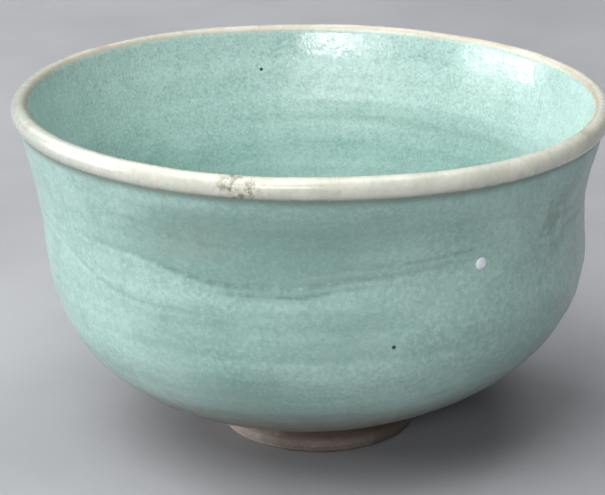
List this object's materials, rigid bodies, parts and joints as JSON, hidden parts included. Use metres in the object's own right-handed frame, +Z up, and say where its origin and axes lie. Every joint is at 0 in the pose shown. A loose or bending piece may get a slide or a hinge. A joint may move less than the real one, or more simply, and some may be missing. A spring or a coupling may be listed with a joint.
{
  "type": "matcha bowl",
  "caption": "Round tea bowl with a rolled lip, an upright wall, a full hip and a small foot ring; holds whisked tea and stands on a flat surface.",
  "frame": {"origin": "on the table, at the middle of the foot ring's standing face", "axes": "+Z up along the bowl's axis of symmetry; -Y is the side that faces the viewer, with the white grain to its right"},
  "size_m": [0.122, 0.122, 0.0714],
  "materials": {
    "clay": "bare fired stoneware, matt",
    "foot_clay": "bare fired stoneware, matt, toasted brown",
    "celadon_outside": "satin celadon glaze, finely speckled",
    "celadon_inside": "glossy celadon glaze, finely speckled",
    "lip_glaze": "glossy pale glaze with brown iron stains",
    "white_grain": "satin white grain",
    "iron_speck": "dull dark iron spot"
  },
  "bodies": {
    "root": {"clay_body": "clay", "foot_ring": "foot_clay", "outside_glaze": "celadon_outside", "inside_glaze": "celadon_inside", "lip_glaze": "lip_glaze", "white_grain": "white_grain", "iron_specks": "iron_speck"}
  },
  "joints": []
}
